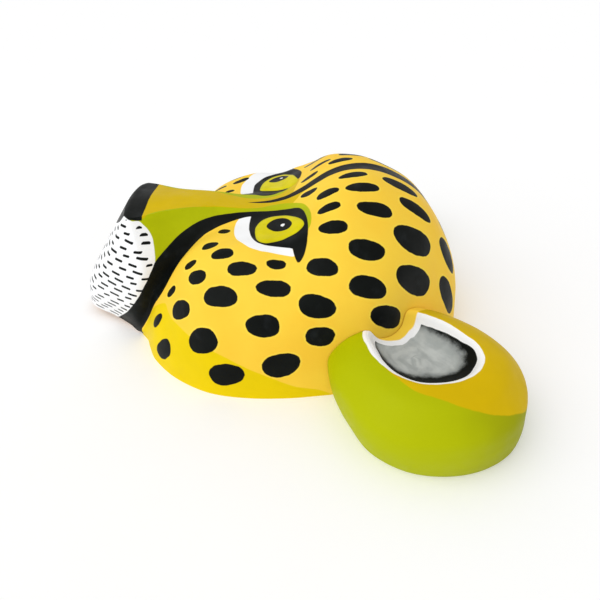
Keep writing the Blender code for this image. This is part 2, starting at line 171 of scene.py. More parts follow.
def head_skin(across_steps, along_steps):
    """The left half of the head's outside as a grid of points, rib by rib."""
    ribs = []
    for name, points in HEAD_RIBS:
        points = np.array(points, float)
        beyond = points[1:2] * (-1, 1, 1)
        creases = np.zeros(LAST_LINE + 2)
        creases[1 + RIDGE_LINE] = RIDGE_CREASE.get(name, 0)
        creases[1 + VALLEY_LINE] = VALLEY_CREASE.get(name, 0)
        rib = curve_through(np.vstack((beyond, points)), creases, across_steps)
        ribs.append(rib[across_steps:])
    ribs = np.array(ribs)
    columns = []
    for column in range(ribs.shape[1]):
        creases = np.zeros(len(HEAD_RIBS))
        creases[NOSE_EDGE] = np.interp(column / across_steps,
                                       range(len(NOSE_EDGE_CREASE) + 1), (*NOSE_EDGE_CREASE, 0))
        columns.append(curve_through(ribs[:, column], creases, along_steps))
    skin = np.array(columns).transpose(1, 0, 2)
    skin[:, 0, 0] = 0
    return skin


def mirrored(half, flip=(-1, 1, 1)):
    """Both halves of the head from the left one."""
    return np.concatenate((half[:, :0:-1] * flip, half), axis=1)


def pulled_in(skin):
    """The hollow's surface: the bowl, or the skin less the wood, whichever is nearer."""
    reach = np.linalg.norm(skin, axis=2, keepdims=True)
    ray = skin / reach
    ahead = np.where(ray[..., 1] < 0, HOLLOW_CHIN, HOLLOW_CROWN)
    power = HOLLOW_ROUNDNESS
    spread = ((np.abs(ray[..., 0]) / HOLLOW_WIDTH) ** power
              + (np.abs(ray[..., 1]) / ahead) ** power
              + (np.abs(ray[..., 2]) / HOLLOW_DEPTH) ** power)
    bowl = spread[..., None] ** (-1 / power)
    inside = reach - LEAST_WOOD
    return ray * (bowl**-HOLLOW_SOFTNESS + inside**-HOLLOW_SOFTNESS) ** (-1 / HOLLOW_SOFTNESS)


def grid_normals(points):
    """Outward normals of a grid of points laid out like the head's outside."""
    along = np.gradient(points, axis=0)
    across = np.gradient(points, axis=1)
    normals = np.cross(across, along)
    return normals / (np.linalg.norm(normals, axis=2, keepdims=True) + 1e-9)


# ---- places on the head

skin = head_skin(ACROSS_STEPS, ALONG_STEPS)
rib_at, line_at = np.meshgrid(np.arange(skin.shape[0]) / ALONG_STEPS,
                              np.arange(skin.shape[1]) / ACROSS_STEPS, indexing="ij")


def on_skin(rib, line):
    """Points of the left half at (rib, line), and past its edges a little way on."""
    side = np.where(np.asarray(line) < 0, -1.0, 1.0)
    down = np.asarray(rib, float) * ALONG_STEPS
    over = np.abs(np.asarray(line, float)) * ACROSS_STEPS
    row = np.clip(np.floor(down), 0, skin.shape[0] - 2).astype(int)
    column = np.clip(np.floor(over), 0, skin.shape[1] - 2).astype(int)
    down = (down - row)[..., None]
    over = (over - column)[..., None]
    near = skin[row, column] * (1 - over) + skin[row, column + 1] * over
    following = skin[row + 1, column] * (1 - over) + skin[row + 1, column + 1] * over
    found = near * (1 - down) + following * down
    found[..., 0] *= side
    return found


def smooth_outline(points, steps=6):
    """A closed curve through (rib, line) points; a third number of 1 keeps a corner."""
    places = np.array([point[:2] for point in points], float)
    creases = np.array([point[2] if len(point) > 2 else 0 for point in points], float)
    places = np.vstack((places[-2:], places, places[:3]))
    creases = np.concatenate((creases[-2:], creases, creases[:3]))
    curve = curve_through(places, creases, steps)
    return curve[2 * steps:-2 * steps - 1]


def segment_distance(points, start, end):
    run = end - start
    length = max(float(run @ run), 1e-9)
    share = np.clip((points - start) @ run / length, 0, 1)
    return np.linalg.norm(points - start - share[:, None] * run, axis=1)


def zone(points, steps=6):
    """Signed distance from each point of the left half to a painted outline."""
    outline = smooth_outline(points, steps)
    low = outline.min(axis=0) - ZONE_REACH
    high = outline.max(axis=0) + ZONE_REACH
    near = (rib_at > low[0]) & (rib_at < high[0]) & (line_at > low[1]) & (line_at < high[1])
    ribs = rib_at[near]
    lines = line_at[near]
    spots = skin[near]
    edge = on_skin(outline[:, 0], outline[:, 1])
    distance = np.full(len(spots), FAR)
    inside = np.zeros(len(spots), bool)
    for index in range(len(outline)):
        after = (index + 1) % len(outline)
        distance = np.minimum(distance, segment_distance(spots, edge[index], edge[after]))
        low_rib, low_line = outline[index]
        high_rib, high_line = outline[after]
        if low_rib != high_rib:
            crosses = (ribs > low_rib) != (ribs > high_rib)
            slope = (high_line - low_line) / (high_rib - low_rib)
            inside ^= crosses & (lines < low_line + (ribs - low_rib) * slope)
    whole = np.full(rib_at.shape, FAR)
    whole[near] = np.where(inside, -distance, distance)
    return whole


# ---- painted shapes

# The stretches that the two sides' outlines have in common.
SIDE_FRONT = ((3.6, 1.04, 1), (4.2, 1.06), (4.4, 0.96), (4.7, 0.92), (5.3, 0.94))
SIDE_BELOW = ((8.2, 2.3), (7.2, 2.0), (6, 2.1), (5, 2.3), (4.3, 2.5, 1), (3.6, 2.2, 1))
BAND_FRONT = (
    (-0.6, 2.19, 1), (0.2, 2.19), (1.23, 2.21), (2.38, 2.34), (3.1, 2.41), (3.8, 2.32),
    (4.14, 2.17, 0.5), (4.5, 2.07), (5.06, 1.86), (5.5, 1.77),
)
BAND_CHEEK = (
    (6.88, 2.35), (6.53, 2.55), (6.18, 2.78), (5.85, 2.92), (5.29, 3.2), (4.78, 3.6), (4.06, 3.85),
    (3.2, 3.97), (2.14, 3.95), (1.4, 4.4), (1, 4.75), (0.5, 6), (-0.6, 6.8, 1),
)

NOSE_CAP = (
    (4.9, -0.4, 1), (4.9, 0.9), (4.6, 1.14, 1), (4.12, 1.09), (3.83, 1.06), (3.3, 1.05),
    (2.92, 0.9), (2.74, 0.7), (2.6, 0.4), (2.53, 0), (2.55, -0.3),
)
NOSE_BACK = -77.7               # where the black of the nose ends, straight across
SNOUT_TOP = (
    (2.5, -0.5, 1), (9.35, -0.5, 1), (9.35, 0), (9.12, 0.42), (8.9, 0.67), (8.7, 1.0), (8.2, 1.5),
    (6, 1.5), (4, 1.5, 1), (2.5, 1.2, 1),
)
SNOUT_SIDE = (
    *SIDE_FRONT, (5.95, 1.04), (6.6, 1.03), (7.25, 0.99), (7.8, 0.74), (8.4, 1.04), (8.92, 2.02),
    (9.16, 2.93), (9.25, 3.6), (9.2, 4.1), (9.05, 4.45, 1), (8.8, 3.4), *SIDE_BELOW,
)
MUZZLE = (
    (-0.6, -0.6, 1), (3.4, -0.6, 1), (3.4, 0.9), (4.1, 1.1, 1), (4.28, 1.34), (4.33, 1.6),
    (4.24, 1.98), (4.1, 2.25), (3.85, 2.6), (2.4, 2.8), (-0.6, 2.6, 1),
)
BAND = (
    *BAND_FRONT, (6.4, 1.66), (6.9, 1.58), (7.4, 1.7), (8.05, 1.85), (8.68, 2.4), (8.97, 2.96),
    (9.09, 3.57), (9.1, 4.2), (9.0, 4.8), (8.87, 5.1), (8.72, 5.23), (8.57, 5.27, 0.5),
    (8.47, 5.16), (8.39, 4.93, 1), (7.92, 4.8), (7.47, 4.71), (7.25, 4.5), (7.1, 3.97), (7.04, 3.4),
    (7.07, 2.38, 1), *BAND_CHEEK,
)
EYE_WHITE = (
    (6.8, 2.2, 1), (6.69, 2.9), (6.68, 3.7), (6.78, 4.2), (7.03, 4.7), (7.32, 4.9), (7.82, 4.99),
    (8.45, 5.13, 1), (8.3, 4.6, 1), (7.6, 4.2), (7.3, 3.4), (7.2, 2.2, 1),
)
IRIS = (
    (7.24, 4.1), (7.23, 3.58), (7.39, 3.08), (7.7, 2.79), (8.15, 2.94), (8.72, 3.46), (8.96, 3.85),
    (8.95, 4.12), (8.69, 4.34), (8.24, 4.43), (7.83, 4.57), (7.52, 4.65), (7.33, 4.51),
)
PUPIL = (
    (7.53, 3.63), (7.69, 3.25), (7.95, 3.15), (8.28, 3.35), (8.49, 3.74), (8.35, 3.94),
    (8.05, 3.98), (7.75, 3.93),
)
GLINT = ((7.97, 3.64), (8.06, 3.57), (8.15, 3.63), (8.06, 3.74))
JOWL = (
    (-0.6, 4, 1), (0.9, 4.9), (2.1, 4.0), (3.1, 4.2), (3.9, 4.4), (4.08, 4.78), (4.31, 5.19),
    (4.87, 5.68), (5.53, 6.03), (6.1, 6.29), (6.76, 6.56), (7.35, 6.7), (8.19, 6.85), (9.4, 6.96),
    (10.5, 7.3, 1), (-0.6, 7.6, 1),
)

# The right eye, which was painted to its own lines.
RIGHT_TOP = (
    (2.5, -0.5, 1), (8.5, -0.5, 1), (8.55, 0), (8.68, 0.5), (8.85, 1.3), (8.97, 2.2), (9.0, 2.9),
    (8.9, 3.2, 1), (8.4, 3), (7.2, 1.6), (6, 1.5), (4, 1.5, 1), (2.5, 1.2, 1),
)
RIGHT_SIDE = (
    *SIDE_FRONT, (5.95, 0.95), (6.46, 0.68), (6.86, 0.42), (7.24, 0.3), (7.61, 0.38), (7.96, 0.64),
    (8.33, 1.3), (8.5, 1.8, 1), *SIDE_BELOW,
)
RIGHT_BAND = (
    *BAND_FRONT, (6.2, 1.6), (6.7, 1.4), (7.07, 1.1), (7.35, 0.8), (7.61, 0.75), (7.88, 0.98),
    (8.16, 1.4), (8.36, 1.9, 1), (8.1, 2.3), (8.1, 3.6), (8.6, 3.7), (8.8, 3.15), (8.96, 2.95, 0.5),
    (9.06, 3.15), (9.1, 3.6), (8.98, 4.15), (8.75, 4.55), (8.6, 4.95), (8.57, 5.27, 0.5),
    (8.47, 5.16), (8.36, 4.9, 1), (7.97, 4.74), (7.66, 4.53), (7.37, 4.28), (7.18, 3.93),
    (7.06, 3.46), (7.05, 2.38, 1), *BAND_CHEEK,
)
RIGHT_IRIS = (
    (7.28, 2.79), (7.29, 3.38), (7.41, 3.88), (7.58, 4.2), (7.85, 4.4), (8.2, 4.38), (8.61, 3.97),
    (8.84, 3.4), (8.92, 2.9), (8.83, 2.2), (8.52, 1.85), (8.13, 2.04), (7.81, 2.2), (7.52, 2.5),
)
RIGHT_PUPIL = (
    (7.55, 3.74), (7.65, 4.05), (7.84, 4.22), (8.1, 4.25), (8.43, 4.01), (8.34, 3.81), (8.05, 3.72),
    (7.8, 3.63),
)
RIGHT_GLINT = ((7.95, 4.02), (8.04, 3.95), (8.12, 4.01), (8.04, 4.1))

# The stripe over the forehead: (rib, its middle to the left, half its width).
STRIPE = (
    (6.7, 2.6, -0.6), (7.1, 2.7, 0.6), (7.6, 2.6, 1.8), (8.0, 1.4, 2.5), (8.5, 0.9, 3),
    (9.3, 1.8, 4), (9.65, 2.9, 4.6), (10, 3.3, 5), (10.7, 2.2, 5.5), (11.2, 1.2, 5.9),
    (12, 0.2, 6.1), (13, 0, 5.2), (14.3, 0, 3), (15, 0, 0.8), (15.3, 0, -0.8),
)

# Spots: (rib, line, length, width, turn), the turn in degrees from the way to the crown
# towards the rim.
SPOTS = (
    (6.43, 4.74, 13.7, 7.8, 18),
    (5.35, 4.39, 10.7, 5, 24), (5.58, 4.92, 15.2, 7.9, 36), (4.39, 4.39, 9.8, 5.2, 12),
    (4.72, 5.17, 17.6, 11, 33), (3.15, 4.92, 12.5, 5.9, -29), (3.64, 6.04, 17, 11.6, -36),
    (5.55, 5.97, 21, 14, 16), (6.24, 6.64, 20.5, 14.3, -5), (7.78, 6.58, 21.2, 15, -8),
    (7.34, 6.08, 18.9, 12.2, 6), (6.31, 5.51, 20, 11.9, 27), (6.9, 5.24, 16.8, 7.9, 19),
    (7.81, 5.22, 11, 5.8, 5), (7.68, 5.6, 18.2, 9.3, 10), (9.4, 5.37, 17.5, 9.8, 1),
    (9.17, 5.94, 19.4, 12.6, 9), (9.23, 6.3, 15.9, 11.7, 5), (11.72, 6.07, 25, 12.3, 10),
    (10.86, 5.63, 21.4, 12.4, 6), (10.83, 4.96, 21.7, 11.4, 3), (11.19, 3.72, 21.1, 9.9, -4),
    (10.87, 2.6, 19.7, 7.8, -9), (12.66, 2.59, 26.3, 8.8, -4), (12.64, 4.15, 30.5, 16.5, -22),
    (12.9, 5.24, 33, 15.8, -10), (14.1, 2.54, 27, 12.4, -5), (14.76, 3.8, 30, 13, -9),
    (14.0, 0.85, 22, 9, -3), (13.6, 6.1, 17, 11, -8), (15.4, 1.6, 12, 7, 0),
    (15.3, 5.4, 13, 8, -5),
)
# The spots by the stripe and the eyes, which aren't the same on the two sides.
LEFT_SPOTS = (
    (9.82, 4.44, 15.7, 9.4, 1), (9.75, 3.67, 14.5, 6.6, -3), (9.75, 2.72, 15, 7, 1),
    (9.24, 1.12, 12.5, 6.2, 20), (10.65, 1.36, 18, 6.6, -9), (12.19, 1.33, 24.5, 9.5, -3),
    (6.09, 4.14, 10.5, 6.2, 20), (6.43, 3.37, 9.5, 5.6, 45),
)
RIGHT_SPOTS = (
    (9.33, 0.93, 13.5, 5.5, -12), (9.71, 1.9, 17, 4.5, -27), (9.62, 3.6, 22, 5.5, -45),
    (10.38, 0.92, 15.5, 6.5, 0), (10.95, 2.1, 20, 10, 0), (12.1, 1.35, 27, 8, -4),
    (6.62, 4.26, 13, 5.2, 29), (6.36, 3.43, 7, 3.6, 5), (6.0, 4.0, 9, 5, 20),
)
UNEVENNESS = 0.035              # how far a spot's outline strays from an oval
OVAL_POWER = 2.25               # 2 would make a plain ellipse
SPOT_MARGIN = 8                 # how far round a spot the distance to it is worked out
SPOT_STEP = 0.04                # how far apart the skin is felt for its slope at a spot

DASH_FALL = 0.03                # how far a row of dashes falls on its way round the muzzle
MUZZLE_MIDDLE = -60             # where the dashes' rows are centred, along the mask
MUZZLE_TOP = 80
MUZZLE_RADIUS = 45              # the muzzle's radius at its top, and how it grows downwards
MUZZLE_SPREAD = 0.3


def spot_distance(spots):
    """Signed distance from each point of the left half to the nearest spot."""
    nearest = np.full(rib_at.shape, FAR)
    for number, (rib, line, length, width, turn) in enumerate(spots):
        centre = on_skin(rib, line)
        down = on_skin(rib + SPOT_STEP, line) - on_skin(rib - SPOT_STEP, line)
        over = on_skin(rib, line + SPOT_STEP) - on_skin(rib, line - SPOT_STEP)
        outward = np.cross(over, down)
        outward /= np.linalg.norm(outward)
        down /= np.linalg.norm(down)
        over = np.cross(down, outward)
        sine = math.sin(math.radians(turn))
        cosine = math.cos(math.radians(turn))
        long_way = cosine * down + sine * over
        short_way = cosine * over - sine * down
        offset = skin - centre
        reach = np.linalg.norm(offset, axis=2)
        close = (reach < length / 2 + SPOT_MARGIN) & (offset @ outward > -length * 0.6)
        offset = offset[close]
        flat = np.stack((offset @ long_way, offset @ short_way), axis=1)
        flat *= (reach[close] / (np.linalg.norm(flat, axis=1) + 1e-6))[:, None]
        share = flat / (length / 2, width / 2)
        bearing = np.arctan2(share[:, 1], share[:, 0])
        stray = (np.sin(2 * bearing + 2.4 * number) + 0.8 * np.sin(3 * bearing + 1.7 * number))
        level = (np.abs(share) ** OVAL_POWER).sum(axis=1) ** (1 / OVAL_POWER)
        level = level / (1 + UNEVENNESS * stray)
        slope = np.linalg.norm(share / (length / 2, width / 2), axis=1) / np.maximum(level, 0.1)
        distance = (level - 1) / np.maximum(slope, 2 / length)
        nearest[close] = np.minimum(nearest[close], distance)
    return nearest


def varied(spots, seed):
    """The same spots a little moved and resized, for the other side."""
    chance = np.random.default_rng(seed)
    changed = []
    for rib, line, length, width, turn in spots:
        rib_shift, line_shift, longer, wider, turned = chance.uniform(-1, 1, 5)
        changed.append((rib + 0.06 * rib_shift, line + 0.05 * line_shift,
                        length * (1 + 0.06 * longer), width * (1 + 0.08 * wider),
                        turn + 6 * turned))
    return changed


def stripe_distance(side):
    """Signed distance from each point of one side to the stripe over the forehead."""
    ribs, middles, halves = np.array(STRIPE).T
    from_middle = np.abs(side * skin[..., 0] - np.interp(rib_at, ribs, middles))
    return from_middle - np.interp(rib_at, ribs, halves)


def muzzle_places():
    """Where the muzzle's dashes are counted from: distance round it, and height."""
    height = skin[..., 2]
    turn = np.arctan2(skin[..., 0], MUZZLE_MIDDLE - skin[..., 1])
    around = turn * (MUZZLE_RADIUS + MUZZLE_SPREAD * (MUZZLE_TOP - height))
    return around, height + DASH_FALL * around


def side_fields(outlines, spots, side):
    """Every painted shape as a distance per point of one side of the head."""
    fields = {name: zone(points) for name, points in outlines.items()}
    nose = np.maximum(fields.pop("nose"), skin[..., 1] - NOSE_BACK)
    fields["band"] = np.minimum(np.minimum(fields["band"], nose), stripe_distance(side))
    fields["spots"] = spot_distance(spots)
    around, height = muzzle_places()
    fields["around"] = side * around
    fields["height"] = height
    return fields


def head_paint_fields():
    """The painted shapes of both sides, laid out like the whole head's outside."""
    outlines = dict(nose=NOSE_CAP, top=SNOUT_TOP, side=SNOUT_SIDE, muzzle=MUZZLE, band=BAND,
                    eye_white=EYE_WHITE, iris=IRIS, pupil=PUPIL, glint=GLINT, jowl=JOWL)
    right_outlines = dict(outlines, top=RIGHT_TOP, side=RIGHT_SIDE, band=RIGHT_BAND,
                          iris=RIGHT_IRIS, pupil=RIGHT_PUPIL, glint=RIGHT_GLINT)
    left = side_fields(outlines, SPOTS + LEFT_SPOTS, 1)
    right = side_fields(right_outlines, (*varied(SPOTS, 7), *RIGHT_SPOTS), -1)
    return {name: np.concatenate((right[name][:, :0:-1], left[name]), axis=1) for name in left}


# ---- meshes

def mesh_of(name, points, faces, sharp_angle=38):
    """A smooth-shaded mesh in metres from points in millimetres."""
    mesh = bpy.data.meshes.new(name)
    mesh.from_pydata([tuple(point) for point in np.asarray(points) * MM], [], faces)
    mesh.update()
    mesh.shade_smooth()
    mesh.set_sharp_from_angle(angle=math.radians(sharp_angle))
    return mesh


def add_piece(name, mesh, materials=()):
    made = bpy.data.objects.new(name, mesh)
    bpy.context.scene.collection.objects.link(made)
    for finish in materials:
        mesh.materials.append(finish)
    return made


def store(mesh, name, values):
    """A number per point of the mesh, for the materials to read."""
    attribute = mesh.attributes.new(name, "FLOAT", "POINT")
    attribute.data.foreach_set("value", np.asarray(values, np.float32))


def grid_quads(rows, columns, first, flip):
    """Quads of a grid whose points are numbered row by row from first."""
    corner = first + np.arange(rows - 1)[:, None] * columns + np.arange(columns - 1)
    order = (corner, corner + 1, corner + columns + 1, corner + columns)
    if flip:
        order = order[::-1]
    return np.stack(order, axis=-1).reshape(-1, 4).tolist()


def edge_numbers(rows, columns, first):
    """The point numbers round the edge of a grid, in order."""
    number = first + np.arange(rows * columns).reshape(rows, columns)
    return [*number[0], *number[1:-1, -1], *number[-1, ::-1], *number[-2:0:-1, 0]]


EYE_RISE = 0.9                  # how far the eyes stand out, and how wide the slope there is
EYE_SLOPE = 6
EYE_SPREAD = 0.3                # how much of the slope lies outside the iris
GOUGES_PER_LINE = 2.6
GOUGES_PER_RIB = 0.55
GOUGE_DEPTH = 0.8
RIM_FADE = 6                    # the gouges fade out over this height above the back rim


def relief(fields):
    """How far the carved eyes stand out of the plain skin."""
    eye = np.clip(-fields["iris"] / EYE_SLOPE + EYE_SPREAD, 0, 1)
    return EYE_RISE * eye * eye * (3 - 2 * eye)


def gouged(inside, ribs, lines):
    """The hollow with shallow gouge cuts running towards its middle."""
    normals = grid_normals(inside)
    around = lines * GOUGES_PER_LINE
    row = np.floor(around)
    chance = np.sin(row * 12.9898) * 43758.5453     # looks random, the same every time
    chance = chance - np.floor(chance)
    along = ribs * GOUGES_PER_RIB + chance
    across = (around - row) * 2 - 1
    length = (along - np.floor(along)) * 2 - 1
    cut = (1 - across**2) * (1 - length**4)
    return inside + normals * (GOUGE_DEPTH * cut)[..., None]


def build_head_mesh(fields):
    """The head as one closed mesh: its painted outside, and the bare hollow."""
    outside = mirrored(skin)
    rows, columns = outside.shape[:2]
    normals = grid_normals(outside)
    outside = outside + normals * relief(fields)[..., None]
    inside = pulled_in(mirrored(skin)[::2, ::2])
    inner_rows, inner_columns = inside.shape[:2]
    lines = mirrored(line_at, -1)[::2, ::2]
    ribs = mirrored(rib_at, 1)[::2, ::2]
    edge_fade = np.clip(inside[..., 2:] / RIM_FADE, 0, 1)
    inside = inside * (1 - edge_fade) + gouged(inside, ribs, lines) * edge_fade
    first = rows * columns
    faces = grid_quads(rows, columns, 0, False)
    outer_count = len(faces)
    faces += grid_quads(inner_rows, inner_columns, first, True)
    outer_edge = edge_numbers(rows, columns, 0)
    inner_edge = edge_numbers(inner_rows, inner_columns, first)
    count = len(inner_edge)
    for index in range(count):
        after = (index + 1) % count
        start, middle, end = (outer_edge[(2 * index + step) % len(outer_edge)]
                              for step in range(3))
        faces.append((end, middle, start, inner_edge[index], inner_edge[after]))
    points = np.vstack((outside.reshape(-1, 3), inside.reshape(-1, 3)))
    mesh = mesh_of("mask_head", points, faces)
    slots = np.ones(len(faces), np.int32)
    slots[:outer_count] = 0
    mesh.polygons.foreach_set("material_index", slots)
    blank = np.full(inner_rows * inner_columns, FAR)
    for name, field in fields.items():
        store(mesh, name, np.concatenate((field.ravel(), blank)))
    return mesh


def coarse_head(gap):
    """A light closed copy of the head's outside, a gap larger, for cutting the ears."""
    outside = mirrored(head_skin(COARSE_STEPS, COARSE_STEPS))
    outside = outside + gap * grid_normals(outside)
    rows, columns = outside.shape[:2]
    edge = edge_numbers(rows, columns, 0)
    points = outside.reshape(-1, 3)
    below = points[edge].copy()
    below[:, 2] = -5
    first = len(points)
    faces = grid_quads(rows, columns, 0, False)
    count = len(edge)
    for index in range(count):
        after = (index + 1) % count
        faces.append((edge[after], edge[index], first + index, first + after))
    faces.append([first + index for index in range(count)])
    return np.vstack((points, below)), faces


def cut(piece, cutters):
    """The piece less the cutters, as one finished mesh."""
    for cutter in cutters:
        boolean = piece.modifiers.new("cut", "BOOLEAN")
        boolean.operation = "DIFFERENCE"
        boolean.solver = "EXACT"
        boolean.object = cutter
    bpy.context.view_layer.update()
    finished = bpy.data.meshes.new_from_object(
        piece.evaluated_get(bpy.context.evaluated_depsgraph_get()))
    piece.modifiers.clear()
    piece.data = finished
    for cutter in cutters:
        bpy.data.objects.remove(cutter)


def finished_mesh(name, shape):
    mesh = bpy.data.meshes.new(name)
    shape.to_mesh(mesh)
    shape.free()
    return mesh


def cutter_of(shape, stance):
    made = add_piece("cutter", finished_mesh("cutter", shape))
    made.matrix_world = stance
    return made


def box_cutter(size, middle, stance):
    shape = bmesh.new()
    bmesh.ops.create_cube(shape, size=1)
    bmesh.ops.scale(shape, vec=[length * MM for length in size], verts=shape.verts)
    bmesh.ops.translate(shape, vec=[place * MM for place in middle], verts=shape.verts)
    return cutter_of(shape, stance)


def rod_cutter(radius, length, stance):
    shape = bmesh.new()
    bmesh.ops.create_cone(shape, cap_ends=True, segments=24, radius1=radius * MM,
                          radius2=radius * MM, depth=length * MM)
    return cutter_of(shape, stance)


def peg_cutters(side):
    """The bores that hold the pegs of one ear, half in the head and half in the ear."""
    way = Vector((side * math.cos(PEG_BEARING), math.sin(PEG_BEARING), 0))
    turn = way.to_track_quat("Z", "Y").to_matrix().to_4x4()
    cutters = []
    for x, y in PEG_SPOTS:
        stance = Matrix.Translation(Vector((side * x, y, PEG_HEIGHT)) * MM) @ turn
        cutters.append(rod_cutter(PEG_BORE, 2 * PEG_REACH, stance))
    return cutters


def head_cutters():
    """The seat for the strap, the screw bores and the peg bores, as in the CAD."""
    hanger = Matrix.Translation(Vector(PIVOT) * MM) @ Matrix.Rotation(HANGER_LEAN, 4, "X")
    middle = (0, SEAT_DISTANCE - SEAT_CUT / 2, (SEAT_HIGH + SEAT_LOW) / 2)
    cutters = [box_cutter((SEAT_WIDTH, SEAT_CUT, SEAT_HIGH - SEAT_LOW), middle, hanger)]
    for place in SCREW_PLACES:
        stance = (hanger @ Matrix.Translation(Vector((0, 0, place)) * MM)
                  @ Matrix.Rotation(math.pi / 2, 4, "X"))
        cutters.append(rod_cutter(SCREW_BORE, 2 * SCREW_REACH, stance))
    return cutters + peg_cutters(1) + peg_cutters(-1)


EAR_TURN_STEPS = 10             # sides between two of the turns that the outlines are given at
EAR_STEPS = 6                   # rings between two of the CAD's rings


def ear_outline(reaches, steps=EAR_TURN_STEPS):
    """A smooth closed curve, in shares of the radius, through points at equal turns."""
    turns = np.arange(len(reaches)) * 2 * math.pi / len(reaches)
    corners = np.stack((np.cos(turns), np.sin(turns)), axis=1) * np.array(reaches)[:, None]
    wrapped = np.vstack((corners[-2:], corners, corners[:3]))
    curve = curve_through(wrapped, np.zeros(len(wrapped)), steps)
    return curve[2 * steps:-2 * steps - 1]


def build_ear_mesh(name, side):
    """One ear as a closed cup: rings from its back up over the lip and down into the dish."""
    creases = np.zeros(len(EAR_RINGS))
    creases[0] = 1
    rings = curve_through(EAR_RINGS, creases, EAR_STEPS)
    height, middle_x, middle_y, radius, share = (column[:, None] for column in rings.T)
    outline = ((1 - share)[..., None] * ear_outline(EAR_WALL)
               + share[..., None] * ear_outline(EAR_LIP))
    x = middle_x + radius * outline[..., 0]
    y = middle_y + radius * outline[..., 1]
    sides = x.shape[1]
    points = np.stack((side * x, y, height + 0 * x), axis=-1).reshape(-1, 3)
    faces = []
    for row in range(len(rings) - 1):
        for column in range(sides):
            after = (column + 1) % sides
            face = (row * sides + column, row * sides + after,
                    (row + 1) * sides + after, (row + 1) * sides + column)
            faces.append(face if side > 0 else face[::-1])
    bottom = list(range(sides))
    top = list(range((len(rings) - 1) * sides, len(rings) * sides))
    faces.append(bottom[::-1] if side > 0 else bottom)
    faces.append(top if side > 0 else top[::-1])
    return mesh_of(name, points, faces)


# ---- paint on the ears

DISH_MIDDLE = (101.5, 77)
LIP_HEIGHT = 40.5
LIP_RADIUS = 29
DISH_LOWEST = 20                # nothing below this height is in the dish
HEAD_LINE = 2.8                 # width of the white line along the head
# Edges on the ear, as (degrees round the dish, millimetres from the lip): the ochre's
# outer edge, the white's lower edge inside the dish, and the inner edge of the black round the
# dish's walls, which is partly black paint and partly painted shade.
OCHRE_EDGE = (
    (-180, -4), (-75, -4), (-58, 1.1), (-50, 1.4), (-40, 2), (-31, 3.3), (-22, 5.2), (-11, 6.8),
    (0, 9.2), (12, 13.4), (21, 16.3), (33, 21.2), (46, 25.9), (52, 28.4), (70, 32), (100, 35),
    (140, 36), (180, 36),
)
WHITE_EDGE = (
    (-180, 7), (-118, 8), (-100, 8), (-80, 7), (-60, 5.8), (-40, 5.2), (40, 5.5), (57, 6),
    (71, 3.9), (88, 3.3), (110, 4.4), (141, 5.5), (170, 6.2), (180, 7),
)
DARK_WALL_EDGE = (
    (-180, 7), (-130, 7.5), (-118, 8.3), (-108, 9), (-98, 10.5), (-84, 13), (-70, 16.5),
    (-50, 20.5), (-27, 23.5), (11, 23), (43, 20.5), (60, 16), (75, 12.5), (88, 10), (105, 8.4),
    (125, 7.8), (141, 7.5), (180, 7),
)
# How far the white runs out over the lip, and how far the coat's yellow runs onto the ear.
WHITE_SPILL = (
    (-180, 0), (-128, 0), (-115, 2), (-100, 2.6), (-80, 2.2), (-60, 1.1), (-40, 0.2), (-20, 0),
    (180, 0),
)
COAT_EDGE = (
    (-180, 5), (-174, 4.2), (-165, 4.2), (-155, 3.8), (-145, 2.8), (-135, 1.9), (-125, 0.8),
    (-117, -0.6), (-110, -2), (135, -2), (150, 1.5), (160, 4.5), (170, 5.6), (180, 5),
)


def at_bearing(table, degrees):
    """Reads one of the tables above at each point's bearing."""
    bearings, values = np.array(table).T
    return np.interp(degrees, bearings, values)


def paint_ear(piece, side, head_tree):
    """Stores the ear's painted shapes on its mesh, from where each point lies."""
    mesh = piece.data
    points = np.empty(len(mesh.vertices) * 3)
    mesh.vertices.foreach_get("co", points)
    points = points.reshape(-1, 3) / MM
    offset = points[:, :2] * (side, 1) - DISH_MIDDLE
    bearing = np.arctan2(offset[:, 1], offset[:, 0])
    lip = ear_outline(EAR_LIP)
    lip_bearing = np.arctan2(lip[:, 1], lip[:, 0])
    lip_reach = LIP_RADIUS * np.linalg.norm(lip, axis=1)
    reach = np.interp(bearing, lip_bearing, lip_reach, period=2 * math.pi)
    beyond = np.linalg.norm(offset, axis=1) - reach
    from_lip = np.hypot(beyond, LIP_HEIGHT - points[:, 2])
    degrees = np.degrees(bearing)
    inner = (beyond < 0) & (points[:, 2] > DISH_LOWEST)
    near_head = np.array([head_tree.find_nearest(Vector(point))[3] for point in points])
    store(mesh, "green", np.where(inner, FAR, at_bearing(OCHRE_EDGE, degrees) - from_lip))
    spill = at_bearing(WHITE_SPILL, degrees)
    coat = near_head - at_bearing(COAT_EDGE, degrees)
    outer = np.where(points[:, 2] > DISH_LOWEST, beyond - spill, FAR)
    store(mesh, "lip", np.where(inner, -from_lip, outer))
    store(mesh, "dish", np.where(inner, at_bearing(WHITE_EDGE, degrees) - from_lip, FAR))
    # The black round the dish's walls, partly black paint and partly painted shade.
    store(mesh, "black", np.where(inner, from_lip - at_bearing(DARK_WALL_EDGE, degrees), FAR))
    store(mesh, "head_line", np.where(inner, coat - HEAD_LINE, FAR))
    store(mesh, "coat", coat)
    store(mesh, "round", bearing * LIP_RADIUS)
    store(mesh, "inward", -beyond)


# ---- materials

def colour(red, green, blue):
    """A screen colour, 0 to 255, as the light values that the shaders work in."""
    shares = [level / 255 for level in (red, green, blue)]
    return (*[share / 12.92 if share <= 0.04045 else ((share + 0.055) / 1.055) ** 2.4
              for share in shares], 1)


